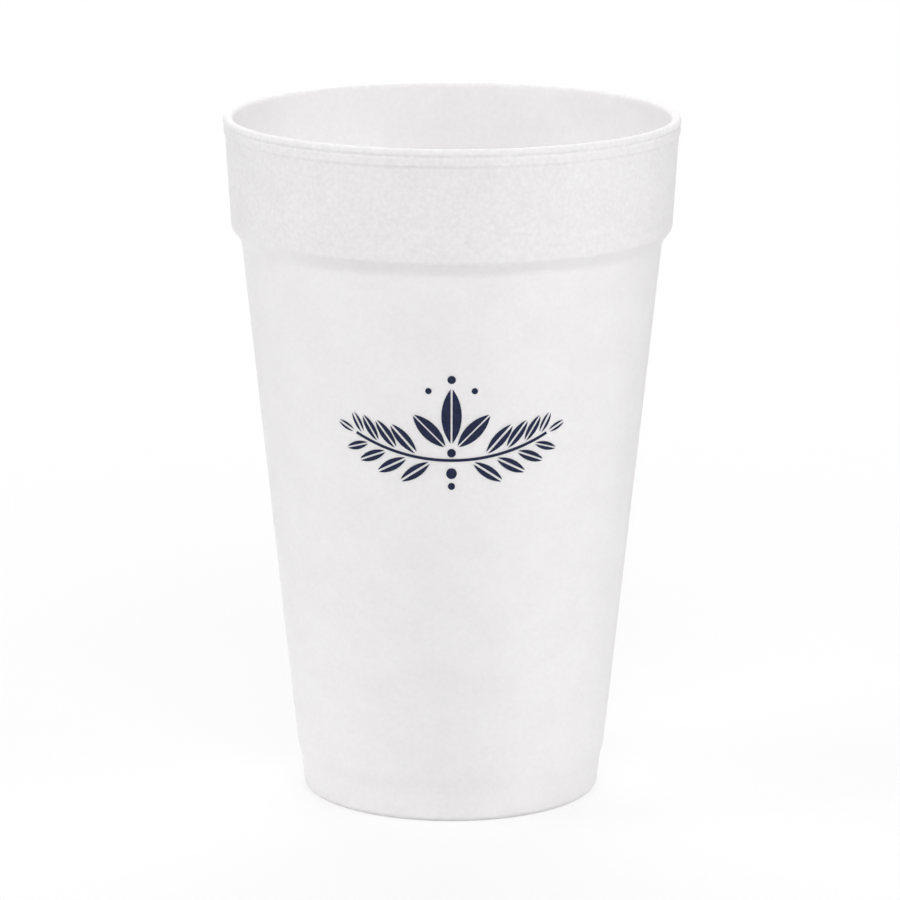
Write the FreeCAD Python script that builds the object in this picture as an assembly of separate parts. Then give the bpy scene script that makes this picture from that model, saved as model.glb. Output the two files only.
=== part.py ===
import FreeCAD, Part
import math
import os

# A tall tapered drinking cup, moulded in one piece from foam.
# It is one outline turned about +Z. The origin is at the middle of the foot, on the table.
# Sizes are in millimetres. In an outline r is the distance from the axis and z the height.

# Overall sizes
height = 142.0
rim_diameter = 94.0         # across the widest edge of the lip
base_diameter = 61.3        # across the foot, where its side runs down to the table
wall = 2.1                  # thickness of the side, the shoulder and the lower part of the band

# Lip at the top: an upper bead that stands proud of a lower one along the parting edge
bead_height = 1.6           # from the parting edge up to the top
lower_bead_height = 2.0     # from the underside of the lip up to the parting edge
parting_step = 0.15         # the lower bead is set back by this much
lip_overhang = 0.46         # from the band out to the widest edge
lip_underside = 0.3         # height of the slope under the lip
lip_rounding = 0.4
rim_rounding = 0.9

# Band below the lip, and the shoulder it ends in
band_height = 19.0          # from the shoulder's edge up to the lip
band_draft = 1.16           # the band is this much narrower in radius at its foot
shoulder_height = 2.65
shoulder_overhang = 2.04    # from the side out to the band
shoulder_edge_rounding = 1.0
shoulder_crease_rounding = 0.6

# Faint line inside, above which the mouth is a little wider and its wall thinner
mouth_depth = 10.0          # from the top down to the line
mouth_step = 0.3
mouth_step_height = 0.8

# Foot: its side is stepped in, and its underside is hollowed
foot_height = 6.9           # from the table up to the step
foot_step = 0.47
foot_step_height = 2.4
foot_step_rounding = 3.0
foot_rounding = 1.5
foot_width = 3.6            # width of the ring that stands on the table
foot_inner_rounding = 0.5
hollow_depth = 3.0
hollow_draft = 0.4          # the hollow is this much narrower in radius at its top
hollow_rounding = 0.8

# Floor
floor = 3.0
floor_rounding = 3.0
port_diameter = 11.0        # round mark under the floor, where the mould is filled
port_depth = 0.4
port_rounding = 0.3


def shifted(start, end, distance):
    """The line from start to end, moved to its left by distance."""
    dr, dz = end[0] - start[0], end[1] - start[1]
    length = math.hypot(dr, dz)
    move = (-dz * distance / length, dr * distance / length)
    return [(r + move[0], z + move[1]) for r, z in (start, end)]


def meeting(line, other):
    """The point where two lines cross. Each is given by two of its points."""
    (r1, z1), (r2, z2) = line
    (r3, z3), (r4, z4) = other
    cross = (r2 - r1) * (z4 - z3) - (z2 - z1) * (r4 - r3)
    share = ((r3 - r1) * (z4 - z3) - (z3 - z1) * (r4 - r3)) / cross
    return (r1 + share * (r2 - r1), z1 + share * (z2 - z1))


def along(line, z):
    """The radius of a line at height z."""
    (r1, z1), (r2, z2) = line
    return r1 + (r2 - r1) * (z - z1) / (z2 - z1)


def level(z):
    """A level line at height z."""
    return [(0.0, z), (1.0, z)]


# Heights and radii that follow from the sizes
parting_z = height - bead_height
lip_foot_z = parting_z - lower_bead_height
band_top_z = lip_foot_z - lip_underside
band_foot_z = band_top_z - band_height
crease_z = band_foot_z - shoulder_height

rim_r = rim_diameter / 2
base_r = base_diameter / 2
band_top_r = rim_r - lip_overhang
band_foot_r = band_top_r - band_draft
crease_r = band_foot_r - shoulder_overhang
taper = (crease_r - base_r - foot_step) / crease_z

side_line = [(base_r + foot_step, 0.0), (crease_r, crease_z)]
shoulder_line = [(crease_r, crease_z), (band_foot_r, band_foot_z)]
band_line = [(band_foot_r, band_foot_z), (band_top_r, band_top_z)]

inner_side = shifted(*side_line, wall)
inner_shoulder = shifted(*shoulder_line, wall)
inner_band = shifted(*band_line, wall)
mouth_line = shifted(*band_line, wall - mouth_step)
floor_z = hollow_depth + floor


def foot_corners():
    """Corners of the underside and the foot: radius, height, rounding."""
    foot_inner_r = base_r - foot_width
    step_top_z = foot_height + foot_step_height
    port_r = port_diameter / 2
    return [
        (0.0, hollow_depth + port_depth, 0.0),
        (port_r, hollow_depth + port_depth, port_rounding),
        (port_r, hollow_depth, port_rounding),
        (foot_inner_r - hollow_draft, hollow_depth, hollow_rounding),
        (foot_inner_r, 0.0, foot_inner_rounding),
        (base_r, 0.0, foot_rounding),
        (base_r + taper * foot_height, foot_height, foot_step_rounding),
        (along(side_line, step_top_z), step_top_z, foot_step_rounding),
    ]


def band_corners():
    """Corners of the shoulder, the band and the outside of the lip."""
    lower_bead_r = rim_r - parting_step
    return [
        (crease_r, crease_z, shoulder_crease_rounding),
        (band_foot_r, band_foot_z, shoulder_edge_rounding),
        (band_top_r, band_top_z, 0.0),
        (lower_bead_r, lip_foot_z, lip_rounding),
        (lower_bead_r, parting_z, 0.0),
        (rim_r, parting_z, 0.0),
    ]


def mouth_corners():
    """Corners of the top of the lip, the mouth and the inside, down to the floor."""
    mouth_r = along(mouth_line, height)
    rounding = min(rim_rounding, 0.45 * (rim_r - mouth_r))
    step_top_z = height - mouth_depth
    step_foot_z = step_top_z - mouth_step_height
    inner_edge = meeting(inner_shoulder, inner_band)
    inner_crease = meeting(inner_side, inner_shoulder)
    inner_floor = meeting(inner_side, level(floor_z))
    return [
        (rim_r, height, rounding),
        (mouth_r, height, rounding),
        (along(mouth_line, step_top_z), step_top_z, 0.0),
        (along(inner_band, step_foot_z), step_foot_z, 0.0),
        (*inner_edge, shoulder_crease_rounding),
        (*inner_crease, shoulder_edge_rounding),
        (*inner_floor, floor_rounding),
        (0.0, floor_z, 0.0),
    ]


def outline(corners):
    """A wire through the corners in the XZ plane, each rounded by a tangent arc, closed along the axis."""
    points = [FreeCAD.Vector(r, 0, z) for r, z, _ in corners]
    edges = []
    start = points[0]
    for before, here, after, corner in zip(points, points[1:], points[2:], corners[1:]):
        rounding = corner[2]
        if rounding > 0:
            back = (before - here).normalize()
            ahead = (after - here).normalize()
            half = back.getAngle(ahead) / 2
            reach = rounding / math.tan(half)
            centre = here + (back + ahead).normalize() * (rounding / math.sin(half))
            middle = centre + (here - centre).normalize() * rounding
            arc_start = here + back * reach
            arc_end = here + ahead * reach
            edges.append(Part.makeLine(start, arc_start))
            edges.append(Part.Arc(arc_start, middle, arc_end).toShape())
            start = arc_end
        else:
            edges.append(Part.makeLine(start, here))
            start = here
    edges.append(Part.makeLine(start, points[-1]))
    edges.append(Part.makeLine(points[-1], points[0]))
    return Part.Wire(edges)


def cup():
    """The cup: its outline turned a full circle about the axis."""
    face = Part.Face(outline(foot_corners() + band_corners() + mouth_corners()))
    return face.revolve(FreeCAD.Vector(0, 0, 0), FreeCAD.Vector(0, 0, 1), 360)


os.makedirs("parts", exist_ok=True)
solid = cup()
solid.exportStep("parts/cup.step")
box = solid.optimalBoundingBox(False)
print("cup", solid.ShapeType, "valid", solid.isValid(), "volume", round(solid.Volume), "mm3")
print("size", round(box.XLength, 2), round(box.YLength, 2), round(box.ZLength, 2), "taper", round(taper, 4))
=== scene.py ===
import math

import bmesh
import bpy
from mathutils import Matrix, Vector


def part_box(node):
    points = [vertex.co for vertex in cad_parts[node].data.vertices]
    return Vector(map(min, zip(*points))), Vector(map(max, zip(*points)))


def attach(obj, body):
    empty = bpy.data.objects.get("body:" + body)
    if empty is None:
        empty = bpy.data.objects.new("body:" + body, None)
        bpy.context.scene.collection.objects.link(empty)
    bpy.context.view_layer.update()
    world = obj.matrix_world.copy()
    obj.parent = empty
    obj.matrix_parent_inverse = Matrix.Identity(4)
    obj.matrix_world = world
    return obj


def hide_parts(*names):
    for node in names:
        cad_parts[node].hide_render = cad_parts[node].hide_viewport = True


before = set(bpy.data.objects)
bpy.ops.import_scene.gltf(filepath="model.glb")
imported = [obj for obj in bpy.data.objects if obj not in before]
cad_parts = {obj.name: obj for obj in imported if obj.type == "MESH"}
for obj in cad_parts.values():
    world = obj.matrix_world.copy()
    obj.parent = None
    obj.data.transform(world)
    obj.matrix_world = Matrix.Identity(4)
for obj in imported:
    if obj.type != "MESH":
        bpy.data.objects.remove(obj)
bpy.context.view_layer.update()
cupLow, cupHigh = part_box("cup")
mm = 0.001
print("frame loaded, the cup is", [round(v / mm, 1) for v in cupHigh - cupLow], "mm")


def startFresh():
    if bpy.context.object and bpy.context.object.mode != "OBJECT":
        bpy.ops.object.mode_set(mode="OBJECT")
    bpy.ops.object.select_all(action="DESELECT")


def pick(kind, wanted):
    # in edit mode, selects the points, edges or faces that wanted() says yes to
    bpy.ops.mesh.select_mode(type=kind)
    bpy.ops.mesh.select_all(action="DESELECT")
    mesh = bmesh.from_edit_mesh(bpy.context.object.data)
    parts = {"VERT": mesh.verts, "EDGE": mesh.edges, "FACE": mesh.faces}[kind]
    for part in parts:
        if wanted(part):
            part.select = True
    mesh.select_flush_mode()
    bmesh.update_edit_mesh(bpy.context.object.data)


def useModifier(piece, kind, **settings):
    modifier = piece.modifiers.new(kind.title(), kind)
    for name, value in settings.items():
        setattr(modifier, name, value)
    bpy.context.view_layer.objects.active = piece
    bpy.ops.object.modifier_apply(modifier=modifier.name)


class Wire:                                     # a shader socket that Python's operators work on
    def __init__(self, tree, socket=None):
        self.tree = tree
        self.socket = socket

    def node(self, kind, settings=None, sockets=None, output=0):
        made = self.tree.nodes.new(kind)
        for name, value in (settings or {}).items():
            setattr(made, name, value)
        for name, value in (sockets or {}).items():
            if isinstance(value, Wire):
                self.tree.links.new(value.socket, made.inputs[name])
            else:
                made.inputs[name].default_value = value
        return Wire(self.tree, made.outputs[output]) if made.outputs else made

    def other(self, output):                    # another output of the same node
        return Wire(self.tree, self.socket.node.outputs[output])

    def maths(self, operation, first, second=0.0):
        return self.node("ShaderNodeMath", {"operation": operation}, {0: first, 1: second})

    def __add__(self, other):
        return self.maths("ADD", self, other)

    def __radd__(self, other):
        return self.maths("ADD", other, self)

    def __sub__(self, other):
        return self.maths("SUBTRACT", self, other)

    def __rsub__(self, other):
        return self.maths("SUBTRACT", other, self)

    def __mul__(self, other):
        return self.maths("MULTIPLY", self, other)

    def __rmul__(self, other):
        return self.maths("MULTIPLY", other, self)

    def rise(self, low, high):                  # 0 below low, 1 above high and smooth between
        settings = {"interpolation_type": "SMOOTHSTEP"}
        return self.node("ShaderNodeMapRange", settings, {"Value": self, "From Min": low, "From Max": high})

    def tint(self, low, high):                  # a colour from low to high, self is the share of high
        return self.node("ShaderNodeMix", {"data_type": "RGBA"}, {0: self, 6: (*low, 1), 7: (*high, 1)}, 2)


def newMaterial(name):
    material = bpy.data.materials.new(name)
    material.use_nodes = True
    material.node_tree.nodes.clear()
    return material, Wire(material.node_tree)


def wear(piece, material):
    piece.data.materials.clear()
    piece.data.materials.append(material)


# the cup: its outline is drawn as a chain of points, rounded at the corners and spun about its axis
cup = {
    "segments": 288,
    "longestFace": 1.4 * mm,                    # along the outline
    "roundingFace": 0.35 * mm,                  # along a rounding
    "fewestSteps": 3,                           # in a rounding
    "cornerReach": 0.01 * mm,                   # a point this near to a corner is that corner
    "mergeReach": 0.002 * mm,                   # points this near to each other become one
    "wall": 2.1 * mm,
    "baseRadius": 30.65 * mm,                   # where the foot's side runs down to the table
    "lipOverhang": 0.46 * mm,
    "upperBead": 1.1 * mm,
    "lowerBead": 2.15 * mm,
    "partingStep": 0.15 * mm,                   # the lower bead stands back by this
    "partingDepth": 0.15 * mm,                  # groove between the two beads, behind the lower one
    "partingGape": 0.9 * mm,
    "lipUnderside": 0.6 * mm,
    "bandHeight": 19.05 * mm,
    "bandDraft": 1.16 * mm,
    "shoulderHeight": 2.65 * mm,
    "shoulderOverhang": 2.04 * mm,
    "mouthDepth": 10.0 * mm,
    "mouthStep": 0.3 * mm,
    "mouthStepHeight": 4.0 * mm,                # the step is spread over this, so that it shows faintly
    "footHeight": 6.9 * mm,
    "footStep": 0.47 * mm,
    "footStepHeight": 2.4 * mm,
    "footWidth": 3.6 * mm,
    "hollowDepth": 3.0 * mm,
    "hollowDraft": 0.4 * mm,                    # the hollow is this much narrower in radius at its top
    "floor": 3.0 * mm,
    "portRadius": 5.5 * mm,
    "portDepth": 0.4 * mm,
    "rounding": {                               # radius at each corner of the outline
        "port": 0.3 * mm,
        "hollow": 0.8 * mm,
        "footInside": 0.5 * mm,
        "foot": 1.5 * mm,
        "footStep": 10 * mm,
        "crease": 2.5 * mm,
        "bandFoot": 1.6 * mm,
        "bandTop": 0.5 * mm,
        "lipFoot": 0.3 * mm,
        "bead": 0.35 * mm,
        "parting": 0.2 * mm,
        "rim": 0.9 * mm,
        "mouth": 12 * mm,
        "innerEdge": 0.6 * mm,
        "innerCrease": 1.0 * mm,
        "floor": 3.0 * mm,
    },
    "waves": 0.05 * mm,                         # unevenness of the moulded surface, and its spread
    "waveSpread": 16 * mm,
    "evenFoot": 2 * mm,                         # there is none below this, so that the cup stands flat
    "lipWaves": 0.12 * mm,
    "lipWaveSpread": 2.4 * mm,
    "lipWaveReach": 2.4 * mm,                   # up and down from the parting edge
    "lipWaveDepth": 1.2 * mm,                   # inwards from the widest edge
}


def pushedIn(before, corner, after, depth):
    # the corner of a wall's other side, where both runs of the outline are moved in by depth
    one = (corner - before).normalized()
    two = (after - corner).normalized()
    left = Vector((-one.y, one.x)) + Vector((-two.y, two.x))
    return corner + left * depth / (1 + one.dot(two))


def cupOutline():
    # corners as (radius, height) and rounding, from under the middle round to the floor inside
    rimRadius, height = cupHigh.x, cupHigh.z
    partingHeight = height - cup["upperBead"]
    lipFoot = partingHeight - cup["lowerBead"]
    bandTop = Vector((rimRadius - cup["lipOverhang"], lipFoot - cup["lipUnderside"]))
    bandFoot = bandTop - Vector((cup["bandDraft"], cup["bandHeight"]))
    crease = bandFoot - Vector((cup["shoulderOverhang"], cup["shoulderHeight"]))
    sideFoot = Vector((cup["baseRadius"] + cup["footStep"], 0))
    side = (crease - sideFoot) / crease.y
    stepFoot = Vector((cup["baseRadius"], 0)) + side * cup["footHeight"]
    stepTop = sideFoot + side * (cup["footHeight"] + cup["footStepHeight"])
    band = (bandTop - bandFoot) / cup["bandHeight"]
    lowerBeadRadius = rimRadius - cup["partingStep"]
    groove = Vector((lowerBeadRadius - cup["partingDepth"], partingHeight - cup["partingGape"] / 2))
    innerCrease = pushedIn(sideFoot, crease, bandFoot, cup["wall"])
    innerEdge = pushedIn(crease, bandFoot, bandTop, cup["wall"])
    floorHeight = cup["hollowDepth"] + cup["floor"]
    lineFoot = height - cup["mouthDepth"] - cup["mouthStepHeight"]
    mouthFoot = innerEdge + band * (height - cup["mouthDepth"] - innerEdge.y) + Vector((cup["mouthStep"], 0))
    hollowRadius = cup["baseRadius"] - cup["footWidth"]
    rounding = cup["rounding"]
    return [
        (Vector((0, cup["hollowDepth"] + cup["portDepth"])), 0),
        (Vector((cup["portRadius"], cup["hollowDepth"] + cup["portDepth"])), rounding["port"]),
        (Vector((cup["portRadius"], cup["hollowDepth"])), rounding["port"]),
        (Vector((hollowRadius - cup["hollowDraft"], cup["hollowDepth"])), rounding["hollow"]),
        (Vector((hollowRadius, 0)), rounding["footInside"]),
        (Vector((cup["baseRadius"], 0)), rounding["foot"]),
        (stepFoot, rounding["footStep"]),
        (stepTop, rounding["footStep"]),
        (crease, rounding["crease"]),
        (bandFoot, rounding["bandFoot"]),
        (bandTop, rounding["bandTop"]),
        (Vector((lowerBeadRadius, lipFoot)), rounding["lipFoot"]),
        (Vector((lowerBeadRadius, partingHeight - cup["partingGape"])), rounding["bead"]),
        (groove, rounding["parting"]),
        (Vector((rimRadius, partingHeight)), rounding["bead"]),
        (Vector((rimRadius, height)), rounding["rim"]),
        (mouthFoot + band * cup["mouthDepth"], rounding["rim"]),
        (mouthFoot, rounding["mouth"]),
        (innerEdge + band * (lineFoot - innerEdge.y), rounding["mouth"]),
        (innerEdge, rounding["innerEdge"]),
        (innerCrease, rounding["innerCrease"]),
        (innerCrease + side * (floorHeight - innerCrease.y), rounding["floor"]),
        (Vector((0, floorHeight)), 0),
    ]


def drawOutline(corners):
    start = corners[0][0]
    bpy.ops.mesh.primitive_plane_add(size=1 * mm, location=(start.x, 0, start.y))
    bpy.ops.object.mode_set(mode="EDIT")
    bpy.ops.mesh.select_mode(type="VERT")
    bpy.ops.mesh.merge(type="CENTER")           # one point is left, and the chain grows from it
    for (here, _), (there, _) in zip(corners, corners[1:]):
        move = (there.x - here.x, 0, there.y - here.y)
        bpy.ops.mesh.extrude_region_move(TRANSFORM_OT_translate={"value": move})
    for (before, _), (here, rounding), (after, _) in zip(corners, corners[1:], corners[2:]):
        half = (before - here).angle(after - here) / 2
        place = Vector((here.x, 0, here.y)) - bpy.context.object.location
        pick("VERT", lambda point: (point.co - place).length < cup["cornerReach"])
        arc = rounding * (math.pi - 2 * half)
        steps = max(cup["fewestSteps"], math.ceil(arc / cup["roundingFace"]))
        bpy.ops.mesh.bevel(affect="VERTICES", offset=rounding / math.tan(half), segments=steps, profile=0.5)


def divideLongEdges(longest):
    enough = longest * 1.001                    # so that a rounded last digit asks for no more cuts
    while True:
        mesh = bmesh.from_edit_mesh(bpy.context.object.data)
        lengths = [edge.calc_length() for edge in mesh.edges]
        if max(lengths) <= enough:
            return
        place = lengths.index(max(lengths))
        cuts = math.ceil(lengths[place] / longest) - 1
        pick("EDGE", lambda edge: edge.index == place)
        bpy.ops.mesh.subdivide(number_cuts=cuts)


def makeCup():
    startFresh()
    drawOutline(cupOutline())
    divideLongEdges(cup["longestFace"])
    piece = bpy.context.object
    piece.name = piece.data.name = "foamCup"
    bpy.ops.object.mode_set(mode="OBJECT")
    bpy.ops.object.transform_apply(location=True, rotation=True, scale=True)
    bpy.ops.object.mode_set(mode="EDIT")
    bpy.ops.mesh.select_all(action="SELECT")
    bpy.ops.mesh.spin(steps=cup["segments"], angle=2 * math.pi, center=(0, 0, 0), axis=(0, 0, 1))
    bpy.ops.mesh.select_all(action="SELECT")
    bpy.ops.mesh.remove_doubles(threshold=cup["mergeReach"])
    bpy.ops.mesh.normals_make_consistent(inside=False)
    bpy.ops.object.mode_set(mode="OBJECT")
    bpy.ops.object.shade_smooth()
    return piece


def roughenCup(piece):
    # slight unevenness all over, and a livelier one on the lip, where the mould's halves meet
    waves = bpy.data.textures.new("mouldWaves", "CLOUDS")
    waves.noise_scale = cup["waveSpread"]
    lipWaves = bpy.data.textures.new("lipWaves", "CLOUDS")
    lipWaves.noise_scale = cup["lipWaveSpread"]
    side = piece.vertex_groups.new(name="side")
    side.add([v.index for v in piece.data.vertices if v.co.z > cup["evenFoot"]], 1, "REPLACE")
    lip = piece.vertex_groups.new(name="lip")
    partingHeight = cupHigh.z - cup["upperBead"]
    for v in piece.data.vertices:
        if Vector(v.co.xy).length > cupHigh.x - cup["lipWaveDepth"]:
            near = 1 - abs(v.co.z - partingHeight) / cup["lipWaveReach"]
            if near > 0:
                lip.add([v.index], near, "REPLACE")
    useModifier(piece, "DISPLACE", texture=waves, texture_coords="LOCAL", strength=cup["waves"],
                mid_level=0.5, vertex_group="side")
    useModifier(piece, "DISPLACE", texture=lipWaves, texture_coords="LOCAL", strength=cup["lipWaves"],
                mid_level=0.5, vertex_group="lip")
    useModifier(piece, "WEIGHTED_NORMAL", keep_sharp=True)


foam = {
    "colour": (0.930, 0.916, 0.923),
    "mark": (0.840, 0.825, 0.832),              # in the grooves and the darker grain
    "bead": 1.0 * mm,                           # width of one fused bead
    "swayWidth": 2.5,                           # the beads' rows sway: one sway is this many beads wide,
    "swayReach": 0.5,                           # and moves them by up to this share of a bead
    "groove": (0.35, 0.75),                     # a groove begins and is full, in beads from one's middle
    "grain": 0.85 * mm,                         # width of the finer grain on the beads
    "grainBetween": (0.32, 0.68),
    "cloud": 9 * mm,                            # width of the faint patches
    "cloudBetween": (0.35, 0.7),
    "heights": {"shade": 0.25, "groove": 0.4, "grain": 0.5},
    "relief": 0.04 * mm,
    "marks": {"groove": 0.2, "shade": 0.2, "grain": 0.4, "cloud": 0.2},
    "quiet": 0.4,                               # how much of the pattern shows away from the band
    "bandFoot": 119 * mm,
    "bandInside": 45 * mm,                      # radius between the band's outer and inner face
    "footFade": 3 * mm,
    "insideFade": 0.2 * mm,
    "roughness": 0.49,
    "grooveRoughness": 0.15,                    # more in the grooves
    "cloudRoughness": 0.08,                     # more in the patches
    "ior": 1.45,
    "specular": 0.1,
    "translucence": 0.35,
    "lightReach": 2.5 * mm,                     # how far light spreads inside
}


def foamSurface(wire):
    # returns the place on the cup, the grooves between the beads, their shades, the grain and the height
    place = wire.node("ShaderNodeTexCoord", output=3)
    rows = {"Vector": place, "Scale": 1 / (foam["swayWidth"] * foam["bead"]), "Detail": 1.0}
    sway = wire.node("ShaderNodeTexNoise", None, rows, 1)
    reach = {0: sway, "Scale": foam["swayReach"] * foam["bead"]}
    shift = wire.node("ShaderNodeVectorMath", {"operation": "SCALE"}, reach)
    spot = wire.node("ShaderNodeVectorMath", {"operation": "ADD"}, {0: place, 1: shift})
    cells = {"Vector": spot, "Scale": 1 / foam["bead"]}
    core = wire.node("ShaderNodeTexVoronoi", {"feature": "F1"}, cells)
    shade = wire.node("ShaderNodeSeparateColor", None, {0: core.other("Color")})
    fine = {"Vector": place, "Scale": 1 / foam["grain"], "Detail": 2.0}
    noise = wire.node("ShaderNodeTexNoise", None, fine)
    groove = core.rise(*foam["groove"])
    grain = noise.rise(*foam["grainBetween"])
    share = foam["heights"]
    height = shade * share["shade"] - groove * share["groove"] + grain * share["grain"]
    return place, groove, shade, grain, height


def onBand(wire, place):
    # 1 on the outer face of the band and the lip, 0 elsewhere
    tall = wire.node("ShaderNodeSeparateXYZ", None, {0: place}, 2)
    flat = wire.node("ShaderNodeVectorMath", {"operation": "MULTIPLY"}, {0: place, 1: (1, 1, 0)})
    radius = wire.node("ShaderNodeVectorMath", {"operation": "LENGTH"}, {0: flat}, 1)
    high = tall.rise(foam["bandFoot"] - foam["footFade"], foam["bandFoot"] + foam["footFade"])
    wide = radius.rise(foam["bandInside"] - foam["insideFade"], foam["bandInside"] + foam["insideFade"])
    return high * wide


def foamMaterial():
    material, wire = newMaterial("whiteFoam")
    place, groove, shade, grain, height = foamSurface(wire)
    lively = onBand(wire, place) * (1 - foam["quiet"]) + foam["quiet"]
    patches = {"Vector": place, "Scale": 1 / foam["cloud"], "Detail": 2.0}
    cloud = wire.node("ShaderNodeTexNoise", None, patches)
    share = foam["marks"]
    mottle = groove * share["groove"] + shade * share["shade"] + grain * share["grain"]
    mark = mottle * lively + cloud.rise(*foam["cloudBetween"]) * share["cloud"]
    relief = {"Strength": 1.0, "Distance": foam["relief"], "Height": height * lively}
    bump = wire.node("ShaderNodeBump", None, relief)
    sockets = {
        "Base Color": mark.tint(foam["colour"], foam["mark"]),
        "Roughness": foam["roughness"] + groove * foam["grooveRoughness"] + cloud * foam["cloudRoughness"],
        "IOR": foam["ior"],
        "Specular IOR Level": foam["specular"],
        "Subsurface Weight": foam["translucence"],
        "Subsurface Radius": (1.0, 1.0, 1.0),
        "Subsurface Scale": foam["lightReach"],
        "Normal": bump,
    }
    shader = wire.node("ShaderNodeBsdfPrincipled", None, sockets)
    wire.node("ShaderNodeOutputMaterial", None, {"Surface": shader})
    return material


# the ornament on the front: a leafy swag with a bud, drawn flat, bent round the side and pressed onto it
swag = {
    "middle": 83.4 * mm,                        # height of its middle
    "bend": 41.4 * mm,                          # a little wider than the side, so that it is pressed inwards
    "strip": 1.0 * mm,                          # it is cut into strips this wide, to bend
    "lift": 0.03 * mm,
    "thickness": 0.04 * mm,
    "gap": 0.35 * mm,                           # bare surface between one shape and the next
    "stemRadius": 46 * mm,                      # the stem is a shallow bow
    "stemLow": -5.6 * mm,                       # its lowest point, from the swag's middle
    "stemReach": 21.4 * mm,                     # its length to each side
    "stemWidth": 0.6 * mm,
    "stemSteps": 48,
    "leafPoints": 128,                          # in the whole circle that a leaf's bow is cut from
    "dotPoints": 40,
    "onMiddle": 0.1 * mm,                       # a leaf whose root is this near to the middle has no twin
    "leafSlimness": 0.31,                       # a leaf's width as a share of its length
    "leafSpread": 38,                           # degrees between a leaf and the stem
    "upperLeaves": [(7.4, 8.4), (12.0, 7.4), (16.2, 6.4), (19.9, 5.2)],     # place along the stem, length
    "lowerLeaves": [(4.4, 8.0), (9.4, 7.6), (14.0, 6.8), (18.1, 5.6)],
    "tipLeaf": 4.6,
    "budHeart": -4.05,                          # height of the point where the petals meet
    "budOpen": 1.75,                            # bare distance from there to the petals
    "petalSlimness": 0.35,
    "petals": [(90, 12.0), (45, 9.6)],          # degrees above the level, length
    "dots": [(0, -4.05, 0.9), (0, 11.4, 0.85), (4.7, 9.0, 0.65), (0, -8.4, 1.15), (0, -11.1, 0.75)],
}


def drawLeaf(root, aim, length, width):
    # two shallow bows that meet in a tip at each end, with a bare vein between them
    bow = (length * length + width * width) / (4 * width)
    bpy.ops.object.select_all(action="DESELECT")
    bpy.ops.mesh.primitive_circle_add(vertices=swag["leafPoints"], radius=bow, fill_type="NGON",
                                      rotation=(math.pi / 2, 0, 0))
    leaf = bpy.context.object
    bpy.ops.object.transform_apply(location=False, rotation=True, scale=False)
    bpy.ops.object.mode_set(mode="EDIT")
    bpy.ops.mesh.select_all(action="SELECT")
    bpy.ops.transform.translate(value=(0, 0, bow - width / 2))
    bare = swag["gap"] / 2
    bpy.ops.mesh.bisect(plane_co=(0, 0, -bare), plane_no=(0, 0, 1), clear_outer=True)
    bpy.ops.mesh.select_all(action="SELECT")
    bpy.ops.mesh.duplicate_move()
    bpy.ops.transform.resize(value=(1, 1, -1), center_override=(0, 0, 0))
    bpy.ops.object.mode_set(mode="OBJECT")
    leaf.rotation_euler = (0, -aim, 0)
    leaf.location = (root.x + math.cos(aim) * length / 2, 0, root.y + math.sin(aim) * length / 2)
    bpy.ops.object.transform_apply(location=True, rotation=True, scale=True)
    return leaf


def drawStem():
    # a short upright edge, spun about the middle of the bow from one end to the other
    radius = swag["stemRadius"]
    turn = swag["stemReach"] / radius
    middle = (0, 0, swag["stemLow"] + radius)
    bpy.ops.object.select_all(action="DESELECT")
    low = swag["stemLow"] - swag["stemWidth"] / 2
    bpy.ops.mesh.primitive_plane_add(size=swag["stemWidth"], location=(0, 0, low))
    stem = bpy.context.object
    bpy.ops.object.transform_apply(location=True, rotation=True, scale=True)
    bpy.ops.object.mode_set(mode="EDIT")
    bpy.ops.mesh.select_mode(type="VERT")
    bpy.ops.mesh.merge(type="CENTER")
    bpy.ops.mesh.extrude_region_move(TRANSFORM_OT_translate={"value": (0, 0, swag["stemWidth"])})
    bpy.ops.mesh.select_all(action="SELECT")
    bpy.ops.transform.rotate(value=-turn, orient_axis="Y", center_override=middle)
    bpy.ops.mesh.spin(steps=swag["stemSteps"], angle=2 * turn, center=middle, axis=(0, 1, 0))
    bpy.ops.object.mode_set(mode="OBJECT")
    return stem


def drawDot(x, z, radius):
    bpy.ops.object.select_all(action="DESELECT")
    bpy.ops.mesh.primitive_circle_add(vertices=swag["dotPoints"], radius=radius, fill_type="NGON",
                                      location=(x, 0, z), rotation=(math.pi / 2, 0, 0))
    bpy.ops.object.transform_apply(location=True, rotation=True, scale=True)
    return bpy.context.object


def onStem(place, off):
    # a point on the stem, moved off it upwards, and the stem's own slope there
    turn = place / swag["stemRadius"]
    radius = swag["stemRadius"] - off
    height = swag["stemLow"] + swag["stemRadius"] - radius * math.cos(turn)
    return Vector((radius * math.sin(turn), height)), turn


def leavesOfOneArm():
    # root, aim, length and width of each leaf to the right of the middle
    spread = math.radians(swag["leafSpread"])
    clear = swag["stemWidth"] / 2 + swag["gap"]
    leaves = []
    for above, row in ((1, swag["upperLeaves"]), (-1, swag["lowerLeaves"])):
        for place, length in row:
            root, slope = onStem(place * mm, above * clear)
            leaves.append((root, slope + above * spread, length * mm, length * swag["leafSlimness"] * mm))
    root, slope = onStem(swag["stemReach"] + swag["gap"], 0)
    leaves.append((root, slope, swag["tipLeaf"] * mm, swag["tipLeaf"] * swag["leafSlimness"] * mm))
    for rise, length in swag["petals"]:
        aim = math.radians(rise)
        heart = Vector((0, swag["budHeart"] * mm))
        root = Vector((math.cos(aim), math.sin(aim))) * swag["budOpen"] * mm + heart
        leaves.append((root, aim, length * mm, length * swag["petalSlimness"] * mm))
    return leaves


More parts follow.
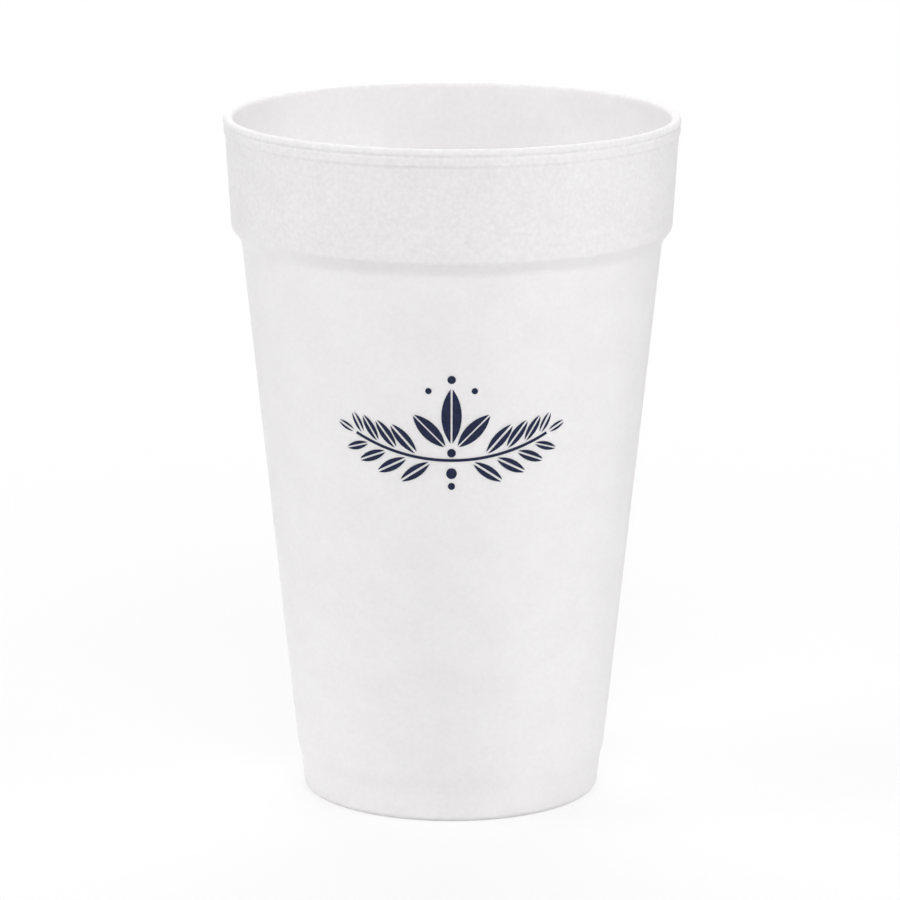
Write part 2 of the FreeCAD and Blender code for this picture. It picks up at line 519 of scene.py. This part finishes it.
def drawSwag():
    parts = [drawStem()]
    for root, aim, length, width in leavesOfOneArm():
        parts.append(drawLeaf(root, aim, length, width))
        if root.x > swag["onMiddle"]:
            parts.append(drawLeaf(Vector((-root.x, root.y)), math.pi - aim, length, width))
    for x, z, radius in swag["dots"]:
        for side in {x, -x}:
            parts.append(drawDot(side * mm, z * mm, radius * mm))
    bpy.ops.object.select_all(action="DESELECT")
    for part in parts:
        part.select_set(True)
    bpy.context.view_layer.objects.active = parts[0]
    bpy.ops.object.join()
    return bpy.context.object


def makeSwag(wall):
    startFresh()
    piece = drawSwag()
    piece.name = piece.data.name = "leafSwag"
    reach = max(v.co.x for v in piece.data.vertices)
    bpy.ops.object.mode_set(mode="EDIT")
    cuts = int(reach / swag["strip"])
    for cut in range(-cuts, cuts + 1):
        bpy.ops.mesh.select_all(action="SELECT")
        bpy.ops.mesh.bisect(plane_co=(cut * swag["strip"], 0, 0), plane_no=(1, 0, 0))
    bpy.ops.mesh.select_all(action="SELECT")
    bpy.ops.mesh.delete_loose()
    pick("FACE", lambda face: face.normal.y > 0)
    bpy.ops.mesh.flip_normals()
    bpy.ops.object.mode_set(mode="OBJECT")
    bend = 2 * reach / swag["bend"]
    useModifier(piece, "SIMPLE_DEFORM", deform_method="BEND", deform_axis="Z", angle=bend)
    piece.location = (0, -swag["bend"], swag["middle"])
    bpy.ops.object.transform_apply(location=True, rotation=True, scale=True)
    useModifier(piece, "SHRINKWRAP", target=wall, wrap_method="NEAREST_SURFACEPOINT",
                wrap_mode="ABOVE_SURFACE", offset=swag["lift"])
    useModifier(piece, "SOLIDIFY", thickness=swag["thickness"], offset=1.0)
    return piece


ink = {
    "colour": (0.013, 0.018, 0.050),
    "thin": (0.023, 0.030, 0.071),              # where it lies thin, mostly over the grain and the grooves
    "thinness": {"groove": 0.3, "shade": 0.15, "grain": 0.55},
    "roughness": 0.55,
    "thinRoughness": 0.15,                      # more where it is thin
    "specular": 0.15,
}


def inkMaterial():
    material, wire = newMaterial("navyInk")
    _, groove, shade, grain, height = foamSurface(wire)
    share = ink["thinness"]
    thin = groove * share["groove"] + shade * share["shade"] + grain * share["grain"]
    relief = {"Strength": 1.0, "Distance": foam["relief"], "Height": height * foam["quiet"]}
    bump = wire.node("ShaderNodeBump", None, relief)
    sockets = {
        "Base Color": thin.tint(ink["colour"], ink["thin"]),
        "Roughness": ink["roughness"] + thin * ink["thinRoughness"],
        "Specular IOR Level": ink["specular"],
        "Normal": bump,
    }
    shader = wire.node("ShaderNodeBsdfPrincipled", None, sockets)
    wire.node("ShaderNodeOutputMaterial", None, {"Surface": shader})
    return material


# the studio: a round pale table top in a white surround, and soft lamps all round
studio = {
    "floorRadius": 0.5,
    "floorSides": 128,
    "floorHole": 29.2 * mm,                     # open under the whole foot, so that its ring has light too
    "floorColour": (0.92, 0.92, 0.92),
    "surround": 0.22,                           # light from all round
    "glow": 0.75,                               # share of plain white in the floor that the camera sees
    "whiteFrom": 0.16,                          # from here outwards the floor fades into plain white
    "whiteAt": 0.45,
}
# azimuth from the camera's side, elevation from the cup's middle, distance, width, height, watts
lamps = {
    "left": (-84, 25, 1.2, 0.6, 0.6, 5.2),
    "front": (8, 44, 1.2, 0.7, 0.6, 6.0),
    "right": (68, 28, 1.2, 0.9, 0.6, 4.1),
    "back": (180, 46, 1.2, 0.9, 0.6, 7.0),
    "underside": (0, -90, 0.4, 0.2, 0.2, 0.4),
}
view = {
    "lens": 202.4,
    "sensor": 36,
    "distance": 1.0282,
    "height": 0.2974,
    "tilt": 12.39,                              # degrees down
    "aside": -0.0003,
    "lean": 0.12,                               # degrees
}


def seenDirectly(wire):
    # 1 for the camera and for what shows in gloss or through glass, 0 for the light that falls on things
    camera = wire.node("ShaderNodeLightPath", output="Is Camera Ray")
    glossy = wire.node("ShaderNodeLightPath", output="Is Glossy Ray")
    through = wire.node("ShaderNodeLightPath", output="Is Transmission Ray")
    return camera.maths("MAXIMUM", camera, glossy.maths("MAXIMUM", glossy, through))


def floorMaterial():
    material, wire = newMaterial("paleFloor")
    place = wire.node("ShaderNodeTexCoord", output=3)
    away = wire.node("ShaderNodeVectorMath", {"operation": "LENGTH"}, {0: place}, 1)
    paint = wire.node("ShaderNodeBsdfDiffuse", None, {"Color": (*studio["floorColour"], 1)})
    white = wire.node("ShaderNodeEmission", None, {"Color": (1, 1, 1, 1), "Strength": 1.0})
    far = away.rise(studio["whiteFrom"], studio["whiteAt"])
    share = (far * (1 - studio["glow"]) + studio["glow"]) * seenDirectly(wire)
    top = wire.node("ShaderNodeMixShader", None, {0: share, 1: paint, 2: white})
    clear = wire.node("ShaderNodeBsdfTransparent")
    below = wire.node("ShaderNodeNewGeometry", output="Backfacing")
    shader = wire.node("ShaderNodeMixShader", None, {0: below, 1: top, 2: clear})
    wire.node("ShaderNodeOutputMaterial", None, {"Surface": shader})
    return material


def makeFloor():
    bpy.ops.mesh.primitive_circle_add(vertices=studio["floorSides"], radius=studio["floorHole"])
    floor = bpy.context.object
    floor.name = floor.data.name = "floor"
    bpy.ops.object.mode_set(mode="EDIT")
    bpy.ops.mesh.select_all(action="SELECT")
    bpy.ops.mesh.extrude_edges_move()
    wide = studio["floorRadius"] / studio["floorHole"]
    bpy.ops.transform.resize(value=(wide, wide, 1), center_override=(0, 0, 0))
    bpy.ops.mesh.select_all(action="SELECT")
    bpy.ops.mesh.normals_make_consistent(inside=False)
    pick("FACE", lambda face: face.normal.z < 0)
    bpy.ops.mesh.flip_normals()
    bpy.ops.object.mode_set(mode="OBJECT")
    wear(floor, floorMaterial())


def makeSurround():
    world = bpy.data.worlds.new("surround")
    bpy.context.scene.world = world
    world.use_nodes = True
    world.node_tree.nodes.clear()
    wire = Wire(world.node_tree)
    seen = seenDirectly(wire)
    strength = seen + (1 - seen) * studio["surround"]
    shade = wire.node("ShaderNodeBackground", None, {"Color": (1, 1, 1, 1), "Strength": strength})
    wire.node("ShaderNodeOutputWorld", None, {"Surface": shade})


def makeLamps():
    middle = Vector((0, 0, cupHigh.z / 2))
    for name, (azimuth, elevation, distance, width, height, watts) in lamps.items():
        turn, rise = math.radians(azimuth), math.radians(elevation)
        aim = Vector((math.sin(turn) * math.cos(rise), -math.cos(turn) * math.cos(rise), math.sin(rise)))
        bpy.ops.object.light_add(type="AREA", location=middle + aim * distance)
        lamp = bpy.context.object
        lamp.name = name
        lamp.rotation_euler = aim.to_track_quat("Z", "Y").to_euler()
        lamp.data.shape = "RECTANGLE"
        lamp.data.size = width
        lamp.data.size_y = height
        lamp.data.energy = watts
        lamp.visible_camera = False


def makeCamera():
    tilt = Matrix.Rotation(math.radians(90 - view["tilt"]), 3, "X")
    lean = Matrix.Rotation(math.radians(view["lean"]), 3, "Z")
    turned = (tilt @ lean).to_euler()
    bpy.ops.object.camera_add(location=(view["aside"], -view["distance"], view["height"]), rotation=turned)
    camera = bpy.context.object
    camera.data.lens = view["lens"]
    camera.data.sensor_width = view["sensor"]
    bpy.context.scene.camera = camera
    bpy.context.scene.view_settings.view_transform = "Standard"


def build():
    foamCup = makeCup()
    print("cup spun,", len(foamCup.data.polygons), "faces")
    roughenCup(foamCup)
    wear(foamCup, foamMaterial())
    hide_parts("cup")
    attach(foamCup, "root")
    print("cup finished")
    leafSwag = makeSwag(foamCup)
    wear(leafSwag, inkMaterial())
    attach(leafSwag, "root")
    print("swag printed,", len(leafSwag.data.polygons), "faces")
    startFresh()
    makeFloor()
    makeSurround()
    makeLamps()
    makeCamera()
    print("studio ready")


build()
